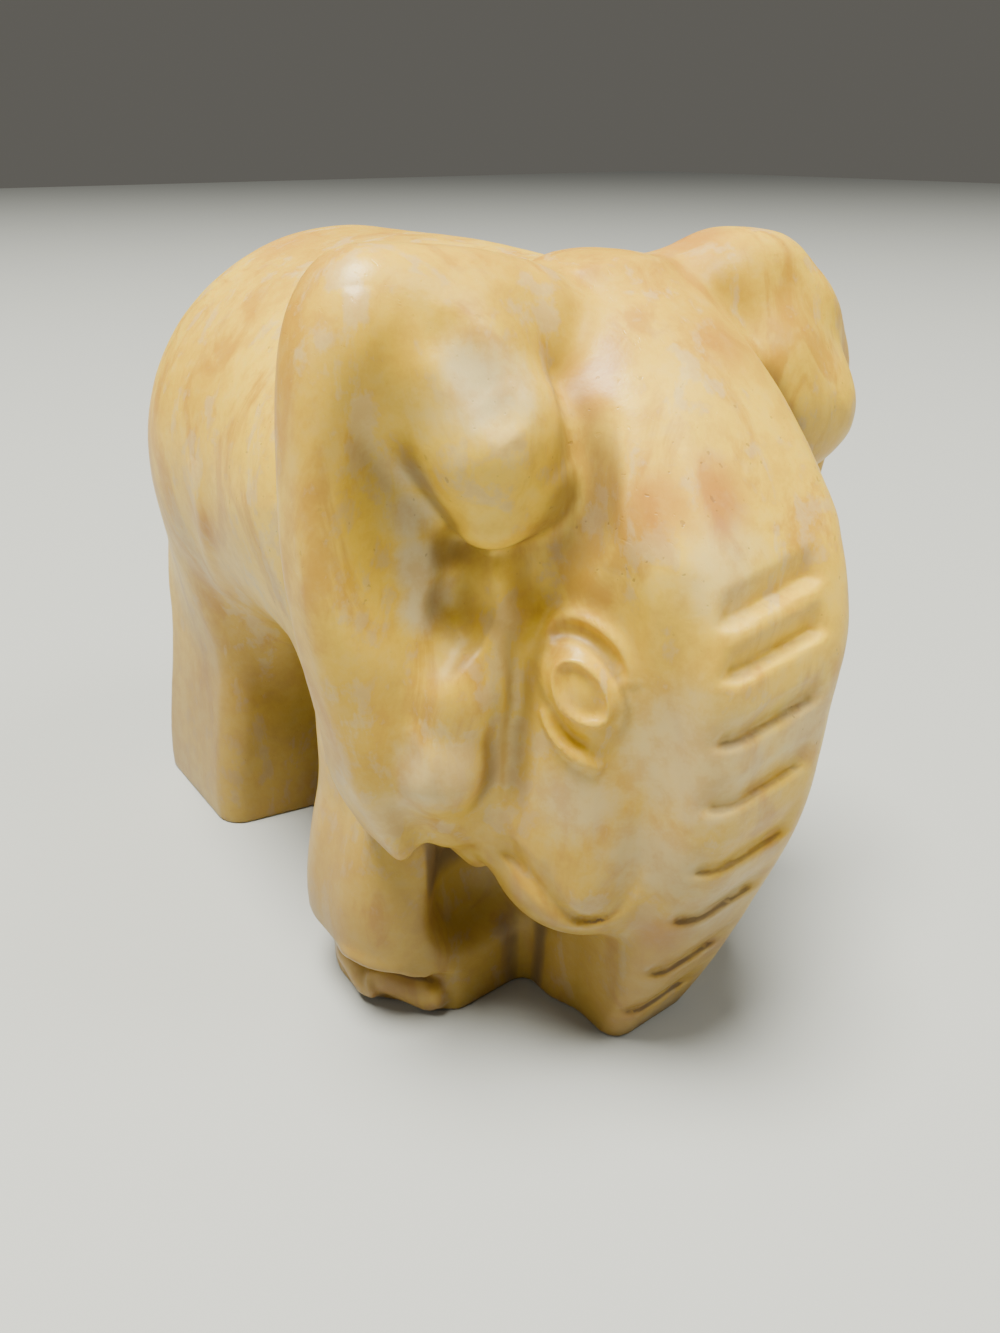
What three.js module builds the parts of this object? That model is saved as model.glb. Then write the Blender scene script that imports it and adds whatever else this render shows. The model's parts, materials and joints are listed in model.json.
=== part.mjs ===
// A carved alabaster elephant that stands on its four feet and the tip of its trunk.
// Sizes are in millimetres, +Z is up, the elephant faces -Y and its left side is +X.
// The origin is at the middle of the underside of its bounding box.
// The form is one solid: a distance field of rounded masses that are joined, hollowed and
// scored as a carver would, then faceted so that the facets gather where the carving is.
import * as THREE from 'three';
import { edgeTable, triTable } from 'three/addons/objects/MarchingCubes.js';

// Driving dimensions. Places are x, y, z with x from the middle plane; balls add a radius.
const CELL = 1.3;
const FACETS = 9600;
const EDGE = 0.9;
const SHIFT_Y = 10.95;

const BARREL = { middle: [0, 7.7, 77], radii: [36.9, 30.3, 35.5], straight: 12.2 };
const HAUNCH = { middle: [10.9, 32.8, 64], radii: [20.4, 20.8, 32.7] };
const WITHERS = { middle: [0, -24, 80], radii: [31, 24, 31] };
const SHOULDER = [[13.5, -19, 78, 21.5], [18, -27, 48, 14.2]];
const HIND_LEG = {
  inner: 5, outer: 29.1, flare: 5, front: 21, slant: 0.22, back: 56.5, heel: 1.5, round: 4.5, top: 76,
};
// How far the hind leg's outer, front and back faces draw in between the two heights, and its rounded top
const THIGH = { low: 42, high: 84, outer: 6, front: 8, back: 16, crown: 12 };
const KNEE = 45;
const LEG_MIDDLE = 15;
const FORE_LEG = {
  inner: 4.5, outer: 32.3, flare: 6.6, flareEnd: 16, front: -43.4, back: -13.8, round: 11.5, top: 54,
};
// The foot tucks in below the leg, and a slanted cut clears its corner for the toes
const FOOT = { tuck: 3.8, tuckLevels: [15, 9], cutX: 0.77, cutY: -0.64, cut: 46.6, lift: 8, liftLevels: [8, 13] };
const WEB = { halfWidth: 10, front: -52, back: -30, round: 4, top: 52 };
const LEG_HOLLOW = [[17.5, -46.5, 36, 9.5], [18.5, -46.5, 22, 10]];
const GROUND_ARCH = { middle: [17, -52.3, 0], radii: [7.5, 6.8, 6.5] };
const TAIL = { height: 2.2, halfWidth: 2.6, low: 36, high: 92, fade: 8 };

const DOME = { middle: [0, -42, 85.7], radii: [22.2, 25.3, 27] };
const CHEEK = [[12.2, -57.4, 66, 10.5], [10.7, -56.3, 37, 13.5]];
const CHEEK_BACK = [[21, -50.8, 79, 5.2], [21.5, -50.6, 46, 5.4], [21.2, -50.2, 38, 3.3]];
const TEMPLE = [[18.2, -62, 98.3, 3.4], [20.8, -61.8, 88, 4.3], [22.3, -58.8, 80, 3.5]];
const TRUNK_VALLEY = [[16, -76, 82, 1.5], [15.5, -73, 34, 1.5]];
const TRUNK = {
  levels: [0, 12, 28, 45, 60, 75, 88, 100, 110],
  front: [-63.3, -68.3, -74.2, -79.1, -79.9, -79.1, -73.3, -61.4, -45.3],
  back: [-47, -49, -50, -44, -40, -40, -42, -42, -42],
  half: [8.6, 9.8, 11.2, 12.6, 13.6, 15.1, 15.6, 13.1, 7.9],
  tipRound: 3.5,
  round: 7.5,
  lean: 0.85,
};
const NOTCHES = {
  levels: [79.5, 73.4, 64.5, 55, 44.2, 33.4, 20.5, 9],
  middle: -2.6,
  reach: 4.4,
  behind: 6,
  tilt: 0.1,
  depth: 1.5,
  lowShare: 0.7,
  slope: 3.8,
  lowSlope: 5.8,
};

const PLATE = {
  middleY: -45.5, halfThickness: 6, rim: 4.5, footRim: 2.2, footBack: 3.5, corner: 9, lean: 0.97,
};
const LEFT_TEMPLE_BACK = 3.5;
const RIGHT_EAR = {
  levels: [34, 41, 52.5, 66.7, 80, 91.6, 102, 112],
  outer: [33.5, 36.8, 41.5, 44.4, 46, 45.8, 44.8, 43],
  across: [4, 10, 18, 25.7, 33, 39, 46],
  top: [103, 111, 114, 114.8, 115.8, 115.4, 111],
  fold: [[33.5, -45.5, 106.5, 8.3], [29, -49.5, 102, 7], [27, -54, 96, 6], [25.4, -54.5, 88.8, 4.6]],
  foldRoot: [
    [17, -46.5, 104.5, 8], [24.5, -46, 104.5, 9.8], [23.3, -52.5, 98, 6.6], [20.3, -54.8, 91.5, 5],
  ],
  foldSoftness: 3.2,
};
const LEFT_EAR = {
  levels: [34, 41, 52.5, 66.7, 78, 84, 90, 97, 103, 110],
  outer: [33.5, 36.8, 41, 42.8, 43.4, 45, 46.4, 45.8, 42.6, 36],
  across: [4, 10, 16, 24, 32, 38, 46],
  top: [105, 112, 114.4, 115, 113.2, 110, 104],
  fold: [[31, -45, 101.5, 9], [31.5, -49.5, 91, 9], [26, -51, 85.5, 5.5]],
  foldRoot: [[20, -45, 104.5, 8.5], [22, -49, 98, 8.5], [23, -50.5, 94, 8.5]],
  foldSoftness: 4,
};
const EAR_FOOT = {
  across: [15, 20.5, 22.3, 25.4, 28, 30.2, 33, 35.5, 38],
  bottom: [37, 31.8, 31, 34.8, 39.2, 40.6, 39.4, 36.8, 37],
};
const EAR_DISH = { middle: [36, -56, 88], radii: [8, 7, 14] };
const LOBE = [[24.5, -50, 79, 4.5], [28.3, -50, 66, 6.5], [30.5, -49.5, 55, 6.5], [26.5, -46.5, 43, 5]];
const EAR_CHANNEL = [
  [28.6, -53.8, 90, 2.4], [27.8, -53.5, 84, 3.8], [29, -54.3, 77, 4.5], [35, -55.8, 70.5, 3],
];
const FOLD_FACET = [
  [33.8, -57.8, 112.3, 5], [33.1, -61.5, 111.2, 8], [31, -64.8, 107.4, 9],
  [29.8, -65.6, 104.4, 8], [27.3, -64.9, 97.8, 4],
];

const EYE = { middle: [19.3, -64.4, 67.6], along: [-0.32, -0.52, -0.79], across: [-0.65, -0.49, 0.58] };
const EYEBALL = { halfLength: 4.3, halfHeight: 2.7, groove: 1.2, grooveWidth: 0.25, bulge: 0.4 };
const LID_BAND = { reach: 1.5, height: 0.6, width: 0.3 };
const EYE_DEPTH = 4;
const UPPER_LID = [
  [20.7, -60, 71.8], [19.3, -58.6, 73.7], [18.3, -59.2, 75], [17.3, -61.3, 75.5],
  [16.4, -63.8, 74.9], [15.5, -66.4, 73.4], [15.3, -68, 71], [15.4, -68.9, 68.5],
];
const LOWER_LID = [
  [21.8, -60.5, 64.8], [21.4, -61.7, 62.4], [20.6, -63.1, 60.4], [19.3, -64.9, 58.6],
  [17.5, -66.6, 57.2],
];
const LID_DEPTH = 0.9;
const JAW_GROOVE = [
  [25, -52.9, 76.3], [25.6, -55.1, 71], [25.7, -56.7, 65.1], [25, -55, 54.1], [24, -54, 46.1],
  [23, -52, 40.7],
];
const MOUTH = {
  along: [-70.5, -68.5, -66.8, -64.8, -63.3, -61.6, -59.4, -56.7, -50],
  level: [41, 34.7, 32.6, 32.3, 33.7, 36, 37.9, 39.3, 40],
  depth: 1.8,
  slope: 4.2,
  front: [-72, -64],
  back: [-53, -57],
  inner: [8, 11],
};
const THIGH_CREASE = [[36.1, 6.6, 82], [36.4, 6.5, 72.5], [33.5, 13, 62], [30.7, 18.6, 53]];
const FOOT_CREASE = [
  [35.2, -21, 9], [36.3, -27, 11.5], [37.2, -32, 13.5], [37.6, -34.8, 14.5], [37.4, -36.9, 14],
  [36.3, -38.6, 13.4], [33.6, -41.2, 12.8], [30.4, -41.8, 9.7], [28.1, -42.1, 5.6],
  [26.8, -42.3, 1.6],
];
const CREASES = [
  { places: JAW_GROOVE, width: 1.2, depth: 0.6 },
  { places: THIGH_CREASE, width: 2.2, depth: 0.8 },
  { places: FOOT_CREASE, width: 1.2, depth: 0.7 },
];
const TOES = [
  [[33.8, -28.4, 8.1, 3.4], [33, -31.7, 4, 3.4]],
  [[30.8, -34, 6, 3.9], [26.6, -39, 3.6, 3.8]],
];

// How far each mass melts into the next
const BODY_SOFTNESS = 10;
const LEG_SOFTNESS = 8;
const HEAD_SOFTNESS = 5;
const EAR_SOFTNESS = 3;
const CARVED_SOFTNESS = 1.5;
const FACE_SOFTNESS = 3;
const WEB_SOFTNESS = 6;
const HOLLOW_SOFTNESS = 3.5;
const DISH_SOFTNESS = 5;
const LOBE_SOFTNESS = 2.5;
const CHANNEL_SOFTNESS = 1;
const TOE_SOFTNESS = 0.8;
const CRISP_SOFTNESS = 0.5;

// Fields: negative inside, positive outside, in millimetres
const square = (v) => v * v;
const bump = (v, width) => Math.exp(-square(v / width));

function rise(low, high, v) {
  const t = THREE.MathUtils.clamp((v - low) / (high - low), 0, 1);
  return t * t * (3 - 2 * t);
}

function ellipsoid(x, y, z, { middle, radii }) {
  const a = (x - middle[0]) / radii[0];
  const b = (y - middle[1]) / radii[1];
  const c = (z - middle[2]) / radii[2];
  const reach = Math.sqrt(a * a + b * b + c * c);
  const slope = Math.sqrt(square(a / radii[0]) + square(b / radii[1]) + square(c / radii[2])) + 1e-9;
  return reach * (reach - 1) / slope;
}

// Two balls and the tapered skin between them
function limb(x, y, z, start, end) {
  const [ux, uy, uz] = [end[0] - start[0], end[1] - start[1], end[2] - start[2]];
  const [px, py, pz] = [x - start[0], y - start[1], z - start[2]];
  const t = THREE.MathUtils.clamp((px * ux + py * uy + pz * uz) / (ux * ux + uy * uy + uz * uz), 0, 1);
  const gap = Math.sqrt(square(px - t * ux) + square(py - t * uy) + square(pz - t * uz));
  const radius = start[3] ?? 0;
  return gap - radius - ((end[3] ?? 0) - radius) * t;
}

function join(a, b, softness) {
  const near = Math.max(softness - Math.abs(a - b), 0) / softness;
  return Math.min(a, b) - near * near * softness / 4;
}

const within = (a, b, softness) => -join(-a, -b, softness);
const hollow = (a, b, softness) => within(a, -b, softness);

// A run of limbs through the places or balls
function run(x, y, z, places, softness = 1e-6) {
  let d = limb(x, y, z, places[0], places[1]);
  for (let n = 2; n < places.length; n += 1) {
    d = join(d, limb(x, y, z, places[n - 1], places[n]), softness);
  }
  return d;
}

// A line cut into the surface
const score = (x, y, z, places, width, depth) => depth * bump(run(x, y, z, places), width);

// A rounded rectangle, measured from its middle
function slab(u, v, halfU, halfV, round) {
  const a = Math.abs(u) - halfU + round;
  const b = Math.abs(v) - halfV + round;
  return Math.hypot(Math.max(a, 0), Math.max(b, 0)) + Math.min(Math.max(a, b), 0) - round;
}

// A flat chisel cut that slopes off above and ends in a steep step below
const ledge = (above, slope) => (above > 0 ? Math.max(1 - above / slope, 0) : bump(above, EDGE));

// A smooth curve of the values over the levels
function along(levels, values, v) {
  const last = levels.length - 1;
  const at = THREE.MathUtils.clamp(v, levels[0], levels[last]);
  let i = 0;
  while (i < last - 1 && at >= levels[i + 1]) i += 1;
  const slope = (k) => {
    if (k === 0) return (values[1] - values[0]) / (levels[1] - levels[0]);
    if (k === last) return (values[last] - values[last - 1]) / (levels[last] - levels[last - 1]);
    const before = levels[k] - levels[k - 1];
    const after = levels[k + 1] - levels[k];
    return (square(before) * values[k + 1] + (square(after) - square(before)) * values[k]
      - square(after) * values[k - 1]) / (before * after * (before + after));
  };
  const step = levels[i + 1] - levels[i];
  const t = (at - levels[i]) / step;
  return (2 * t ** 3 - 3 * t ** 2 + 1) * values[i] + (t ** 3 - 2 * t ** 2 + t) * step * slope(i)
    + (3 * t ** 2 - 2 * t ** 3) * values[i + 1] + (t ** 3 - t ** 2) * step * slope(i + 1);
}

// The masses, with s the distance from the middle plane
function torso(s, y, z) {
  const b = y - BARREL.middle[1];
  const straight = THREE.MathUtils.clamp(b, -BARREL.straight, BARREL.straight);
  let d = join(ellipsoid(s, y - straight, z, BARREL), ellipsoid(s, y, z, HAUNCH), BODY_SOFTNESS + 2);
  d = join(d, ellipsoid(s, y, z, WITHERS), BODY_SOFTNESS);
  return join(d, run(s, y, z, SHOULDER), BODY_SOFTNESS);
}

function hindLeg(s, y, z) {
  const drawn = rise(THIGH.low, THIGH.high, z);
  const { inner } = HIND_LEG;
  const outer = HIND_LEG.outer + HIND_LEG.flare * rise(KNEE, 0, z) - THIGH.outer * drawn;
  const front = HIND_LEG.front + HIND_LEG.slant * (s - LEG_MIDDLE) + THIGH.front * drawn;
  const back = HIND_LEG.back + HIND_LEG.heel * rise(KNEE, 0, z) - THIGH.back * drawn;
  const [halfX, halfY] = [(outer - inner) / 2, (back - front) / 2];
  const post = slab(s - inner - halfX, y - front - halfY, halfX, halfY, HIND_LEG.round);
  return within(post, z - HIND_LEG.top, THIGH.crown);
}

function foreLeg(s, y, z) {
  const { inner, front, back } = FORE_LEG;
  const spread = FORE_LEG.flare * rise(FORE_LEG.top, FORE_LEG.flareEnd, z);
  const outer = FORE_LEG.outer + spread - FOOT.tuck * rise(...FOOT.tuckLevels, z);
  const [halfX, halfY] = [(outer - inner) / 2, (back - front) / 2];
  const post = slab(s - inner - halfX, y - front - halfY, halfX, halfY, FORE_LEG.round);
  const slanted = FOOT.cutX * s + FOOT.cutY * y - FOOT.cut - FOOT.lift * rise(...FOOT.liftLevels, z);
  return Math.max(within(post, slanted, CARVED_SOFTNESS), z - FORE_LEG.top);
}

// The web of stone left between the fore legs, behind the trunk
function web(s, y, z) {
  const halfY = (WEB.back - WEB.front) / 2;
  return Math.max(slab(s, y - WEB.front - halfY, WEB.halfWidth, halfY, WEB.round), z - WEB.top);
}

function trunk(s, y, z) {
  const front = along(TRUNK.levels, TRUNK.front, z);
  const back = along(TRUNK.levels, TRUNK.back, z);
  const half = along(TRUNK.levels, TRUNK.half, z);
  const corner = THREE.MathUtils.lerp(TRUNK.tipRound, TRUNK.round, rise(0, 40, z));
  const round = Math.min(half, (back - front) / 2, corner);
  const section = slab(s, y - (front + back) / 2, half, (back - front) / 2, round);
  return Math.max(section * TRUNK.lean, z - TRUNK.levels.at(-1));
}

// A ring around the eyeball, which rounds out inside it, and the lid standing up around the ring
function eye(s, y, z) {
  const [px, py, pz] = [s - EYE.middle[0], y - EYE.middle[1], z - EYE.middle[2]];
  const u = px * EYE.along[0] + py * EYE.along[1] + pz * EYE.along[2];
  const v = px * EYE.across[0] + py * EYE.across[1] + pz * EYE.across[2];
  const deep = Math.sqrt(Math.max(px * px + py * py + pz * pz - u * u - v * v, 0));
  const reach = Math.hypot(u / EYEBALL.halfLength, v / EYEBALL.halfHeight);
  const ring = EYEBALL.groove * bump(reach - 1, EYEBALL.grooveWidth);
  const ball = EYEBALL.bulge * Math.max(1 - reach * reach, 0);
  const lid = LID_BAND.height * bump(reach - LID_BAND.reach, LID_BAND.width);
  return (ring - ball - lid) * bump(Math.max(deep - EYE_DEPTH, 0), EYE_DEPTH);
}

function mouth(s, y, z) {
  const level = along(MOUTH.along, MOUTH.level, y);
  const steepness = (along(MOUTH.along, MOUTH.level, y + 0.1) - level) / 0.1;
  const span = rise(...MOUTH.front, y) * rise(...MOUTH.back, y) * rise(...MOUTH.inner, s);
  return MOUTH.depth * ledge((z - level) / Math.hypot(1, steepness), MOUTH.slope) * span;
}

function head(s, y, z, left) {
  let d = join(ellipsoid(s, y, z, DOME), trunk(s, y, z), LEG_SOFTNESS);
  d = join(d, run(s, y, z, CHEEK), FACE_SOFTNESS);
  d = join(d, run(s, y, z, CHEEK_BACK), FACE_SOFTNESS);
  d = hollow(d, run(s, left ? y - LEFT_TEMPLE_BACK : y, z, TEMPLE), FACE_SOFTNESS);
  d = hollow(d, run(s, y, z, TRUNK_VALLEY), FACE_SOFTNESS + 1);
  d += eye(s, y, z) + mouth(s, y, z);
  return d + score(s, y, z, UPPER_LID, EDGE, LID_DEPTH) + score(s, y, z, LOWER_LID, EDGE, LID_DEPTH);
}

// A plate with a rounded rim, dished, lobed and channelled, and the fold that falls from its top
function ear(s, y, z, left) {
  const side = left ? LEFT_EAR : RIGHT_EAR;
  const past = PLATE.lean * (s - along(side.levels, side.outer, z));
  const upper = within(past, z - along(side.across, side.top, s), PLATE.corner);
  const outline = within(upper, along(EAR_FOOT.across, EAR_FOOT.bottom, s) - z, EAR_SOFTNESS);
  const rim = PLATE.rim + (PLATE.footRim - PLATE.rim) * rise(66, 44, z);
  const middleY = PLATE.middleY + PLATE.footBack * rise(62, 40, z);
  const a = outline + rim;
  const b = Math.abs(y - middleY) - PLATE.halfThickness + rim;
  let d = Math.hypot(Math.max(a, 0), Math.max(b, 0)) + Math.min(Math.max(a, b), 0) - rim;
  d = hollow(d, ellipsoid(s, y, z, EAR_DISH), DISH_SOFTNESS);
  d = join(d, run(s, y, z, LOBE, EAR_SOFTNESS), LOBE_SOFTNESS);
  d = hollow(d, run(s, y, z, EAR_CHANNEL, CARVED_SOFTNESS), CHANNEL_SOFTNESS);
  const root = run(s, y, z, side.foldRoot, CARVED_SOFTNESS);
  let fold = join(run(s, y, z, side.fold, EAR_SOFTNESS), root, DISH_SOFTNESS);
  fold = hollow(fold, run(s, y, z, FOLD_FACET), CRISP_SOFTNESS);
  return join(d, fold, side.foldSoftness);
}

// Chisel cuts across the front of the trunk
function bands(x, y, z) {
  const reach = NOTCHES.reach + 2 * rise(10, 60, z);
  const across = bump(Math.max(Math.abs(x - NOTCHES.middle) - reach, 0), 1.6);
  const front = rise(-0.5, 0.5, along(TRUNK.levels, TRUNK.front, z) + NOTCHES.behind - y);
  const height = z - NOTCHES.tilt * (x - NOTCHES.middle);
  const depth = NOTCHES.depth * THREE.MathUtils.lerp(NOTCHES.lowShare, 1, rise(58, 74, z));
  const slope = THREE.MathUtils.lerp(NOTCHES.slope, NOTCHES.lowSlope, rise(68, 52, z));
  let cut = 0;
  for (const level of NOTCHES.levels) cut += ledge(height - level, slope);
  return depth * cut * across * front;
}

// A plain tail lying close against the rump
function tail(s, y, z) {
  const up = rise(TAIL.low, TAIL.low + TAIL.fade, z) * rise(TAIL.high, TAIL.high - TAIL.fade, z);
  return TAIL.height * bump(s, TAIL.halfWidth) * up * rise(30, 40, y);
}

function elephant(x, y, z) {
  const s = Math.abs(x);
  const left = x > 0;
  let d = join(torso(s, y, z), hindLeg(s, y, z), BODY_SOFTNESS);
  d = join(d, foreLeg(s, y, z), LEG_SOFTNESS);
  d = join(d, web(s, y, z), WEB_SOFTNESS);
  d = hollow(d, run(s, y, z, LEG_HOLLOW), HOLLOW_SOFTNESS);
  d = hollow(d, ellipsoid(s, y, z, GROUND_ARCH), CARVED_SOFTNESS);
  d = join(d, head(s, y, z, left), HEAD_SOFTNESS);
  d = join(d, ear(s, y, z, left), EAR_SOFTNESS);
  for (const toe of TOES) d = join(d, run(s, y, z, toe), TOE_SOFTNESS);
  for (const crease of CREASES) d += score(s, y, z, crease.places, crease.width, crease.depth);
  d += bands(x, y, z) - tail(s, y, z);
  return Math.max(d, -z);
}

// The surface of the field: marching cubes with shared vertices
function facet(field, low, high, cell) {
  const count = low.map((v, k) => Math.ceil((high[k] - v) / cell) + 1);
  const place = (i, j, k) => [low[0] + i * cell, low[1] + j * cell, low[2] + k * cell];
  const index = (i, j, k) => i + count[0] * (j + count[1] * k);
  const values = new Float64Array(count[0] * count[1] * count[2]);
  for (let k = 0; k < count[2]; k += 1) {
    for (let j = 0; j < count[1]; j += 1) {
      for (let i = 0; i < count[0]; i += 1) values[index(i, j, k)] = field(...place(i, j, k));
    }
  }
  const around = [[0, 0], [1, 0], [1, 1], [0, 1]];
  const corners = [0, 1].flatMap((up) => around.map(([i, j]) => [i, j, up]));
  const turn = [0, 1, 2, 3];
  const edges = [
    ...turn.map((n) => [n, (n + 1) % 4]),
    ...turn.map((n) => [n + 4, (n + 1) % 4 + 4]),
    ...turn.map((n) => [n, n + 4]),
  ];
  const points = [];
  const faces = [];
  const known = new Map();
  const vertex = (a, b) => {
    const ia = index(...a);
    const ib = index(...b);
    const key = Math.min(ia, ib) * values.length + Math.max(ia, ib);
    if (!known.has(key)) {
      const t = THREE.MathUtils.clamp(values[ia] / (values[ia] - values[ib]), 0.02, 0.98);
      const start = place(...a);
      const end = place(...b);
      known.set(key, points.length);
      points.push(start.map((v, n) => v + (end[n] - v) * t));
    }
    return known.get(key);
  };
  for (let k = 0; k < count[2] - 1; k += 1) {
    for (let j = 0; j < count[1] - 1; j += 1) {
      for (let i = 0; i < count[0] - 1; i += 1) {
        const at = corners.map((c) => [i + c[0], j + c[1], k + c[2]]);
        const cube = at.reduce((bits, c, n) => bits | (values[index(...c)] < 0 ? 1 << n : 0), 0);
        if (edgeTable[cube] === 0) continue;
        for (let n = cube * 16; triTable[n] !== -1; n += 3) {
          const ends = [triTable[n], triTable[n + 1], triTable[n + 2]].map((e) => edges[e]);
          faces.push(ends.map(([a, b]) => vertex(at[a], at[b])).reverse());
        }
      }
    }
  }
  return { points, faces };
}

// Thinning by quadric edge collapse, so that flat and evenly curved places keep few facets
function planeQuadric(a, b, c) {
  const normal = new THREE.Vector3().crossVectors(b.clone().sub(a), c.clone().sub(a));
  const area = normal.length() / 2;
  normal.normalize();
  const [nx, ny, nz, w] = [normal.x, normal.y, normal.z, -normal.dot(a)];
  const squares = [nx * nx, nx * ny, nx * nz, nx * w, ny * ny, ny * nz, ny * w, nz * nz, nz * w, w * w];
  return squares.map((v) => v * area);
}

function quadricError(q, x, y, z) {
  return q[0] * x * x + q[4] * y * y + q[7] * z * z + q[9]
    + 2 * (q[1] * x * y + q[2] * x * z + q[5] * y * z + q[3] * x + q[6] * y + q[8] * z);
}

function bestPoint(q, start, end) {
  const solve = new THREE.Matrix3().set(q[0], q[1], q[2], q[1], q[4], q[5], q[2], q[5], q[7]);
  const middle = start.clone().lerp(end, 0.5);
  const size = q[0] + q[4] + q[7];
  if (Math.abs(solve.determinant()) > 1e-3 * size ** 3) {
    const lowest = new THREE.Vector3(-q[3], -q[6], -q[8]).applyMatrix3(solve.invert());
    if (lowest.distanceTo(middle) < start.distanceTo(end)) return lowest;
  }
  const choices = [middle, start, end];
  const errors = choices.map((p) => quadricError(q, p.x, p.y, p.z));
  return choices[errors.indexOf(Math.min(...errors))].clone();
}

function turnsOver(points, face, moved, target) {
  const [a, b, c] = face.map((v) => points[v]);
  const [d, e, f] = face.map((v) => (moved.includes(v) ? target : points[v]));
  const before = new THREE.Vector3().crossVectors(b.clone().sub(a), c.clone().sub(a));
  const after = new THREE.Vector3().crossVectors(e.clone().sub(d), f.clone().sub(d));
  const longest = Math.max(d.distanceTo(e), e.distanceTo(f), f.distanceTo(d));
  return after.length() < 0.02 * longest * longest || before.normalize().dot(after.normalize()) < 0.5;
}

function thin({ points, faces }, goal) {
  let live = faces;
  const places = points.map((p) => new THREE.Vector3(...p));
  const quadrics = places.map(() => new Array(10).fill(0));
  for (const face of live) {
    const q = planeQuadric(...face.map((v) => places[v]));
    for (const v of face) quadrics[v] = quadrics[v].map((old, n) => old + q[n]);
  }
  while (live.length > goal) {
    const around = places.map(() => []);
    live.forEach((face, n) => face.forEach((v) => around[v].push(n)));
    const costs = [];
    for (const face of live) {
      for (let n = 0; n < 3; n += 1) {
        const [a, b] = [face[n], face[(n + 1) % 3]];
        if (a > b) continue;
        const q = quadrics[a].map((v, m) => v + quadrics[b][m]);
        const target = bestPoint(q, places[a], places[b]);
        const error = quadricError(q, target.x, target.y, target.z);
        costs.push({ a, b, q, target, cost: error + 2e-4 * places[a].distanceToSquared(places[b]) });
      }
    }
    costs.sort((one, other) => one.cost - other.cost);
    const touched = new Set();
    const gone = new Set();
    const limit = costs[Math.floor(costs.length * 0.3)].cost;
    for (const { a, b, q, target, cost } of costs) {
      if (cost > limit || live.length - gone.size <= goal) break;
      const near = [...new Set([...around[a], ...around[b]])];
      const ring = new Set(near.flatMap((n) => live[n]));
      if ([...ring].some((v) => touched.has(v))) continue;
      const shared = near.filter((n) => live[n].includes(a) && live[n].includes(b));
      const ringOf = (v) => new Set(around[v].flatMap((n) => live[n]));
      const [ringA, ringB] = [ringOf(a), ringOf(b)];
      const common = [...ringA].filter((v) => v !== a && v !== b && ringB.has(v));
      if (shared.length !== 2 || common.length !== 2) continue;
      const kept = near.filter((n) => !shared.includes(n));
      if (kept.some((n) => turnsOver(places, live[n], [a, b], target))) continue;
      places[a].copy(target);
      quadrics[a] = q;
      shared.forEach((n) => gone.add(n));
      kept.forEach((n) => { live[n] = live[n].map((v) => (v === b ? a : v)); });
      ring.forEach((v) => touched.add(v));
    }
    if (gone.size === 0) break;
    live = live.filter((face, n) => !gone.has(n));
  }
  return { places, faces: live };
}

function solid() {
  const low = [-50.3, -84.2, -2.2];
  const high = [50.3, 62.2, 119.2];
  const { places, faces } = thin(facet(elephant, low, high, CELL), FACETS);
  const order = new Map();
  const positions = [];
  for (const v of faces.flat()) {
    if (order.has(v)) continue;
    order.set(v, order.size);
    const { x, y, z } = places[v];
    positions.push(x, y + SHIFT_Y, Math.abs(z) < 0.02 ? 0 : z);
  }
  const geometry = new THREE.BufferGeometry();
  geometry.setAttribute('position', new THREE.Float32BufferAttribute(positions, 3));
  geometry.setIndex(faces.flat().map((v) => order.get(v)));
  geometry.computeVertexNormals();
  return geometry;
}

const alabaster = new THREE.MeshStandardMaterial({ color: 0xd2a552, roughness: 0.42, metalness: 0 });
const statuette = new THREE.Mesh(solid(), alabaster);
statuette.name = 'elephant';

const group = new THREE.Group();
group.add(statuette);
export default group;
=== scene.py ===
import json
import math

import bpy
import numpy as np
import openvdb
from bpy.props import FloatProperty, FloatVectorProperty, IntProperty, PointerProperty
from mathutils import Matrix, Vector


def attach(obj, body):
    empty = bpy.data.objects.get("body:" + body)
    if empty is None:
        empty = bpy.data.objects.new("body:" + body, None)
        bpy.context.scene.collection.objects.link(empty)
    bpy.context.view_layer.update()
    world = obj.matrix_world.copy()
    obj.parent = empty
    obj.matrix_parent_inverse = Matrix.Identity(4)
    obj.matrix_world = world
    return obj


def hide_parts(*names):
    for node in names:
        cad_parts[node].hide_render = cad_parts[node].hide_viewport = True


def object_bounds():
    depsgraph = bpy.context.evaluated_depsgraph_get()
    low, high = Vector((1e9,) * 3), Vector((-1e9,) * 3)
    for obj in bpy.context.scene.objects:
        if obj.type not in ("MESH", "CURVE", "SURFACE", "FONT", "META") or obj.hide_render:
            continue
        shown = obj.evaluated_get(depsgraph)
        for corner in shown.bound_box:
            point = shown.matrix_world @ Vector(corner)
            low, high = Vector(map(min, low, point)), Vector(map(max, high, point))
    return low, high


bl_info = {
    "name": "Alabaster elephant",
    "version": (1, 0, 0),
    "blender": (4, 5, 0),
    "location": "3D View > Sidebar > Elephant",
    "description": "Carves the alabaster elephant's fine surface and gives it its stone",
    "category": "Add Mesh",
}

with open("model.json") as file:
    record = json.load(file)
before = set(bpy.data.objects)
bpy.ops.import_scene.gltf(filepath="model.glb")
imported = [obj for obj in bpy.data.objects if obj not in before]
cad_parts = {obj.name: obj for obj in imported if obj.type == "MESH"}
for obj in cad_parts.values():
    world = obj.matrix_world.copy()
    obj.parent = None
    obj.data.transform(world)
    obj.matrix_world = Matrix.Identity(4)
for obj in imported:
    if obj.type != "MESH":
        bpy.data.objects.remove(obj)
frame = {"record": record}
CAD_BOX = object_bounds()
NODE = frame["record"]["subparts"][0]["node"]

# The form is a distance field in millimetres. The elephant faces -Y and its left side is +X.
# Places are x, y, z with x from the middle plane, and balls add a radius. The whole carving is moved
# back by SHIFT_Y, which puts the origin under the middle of its box.
MM = 0.001
SHIFT_Y = 10.95
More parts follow.
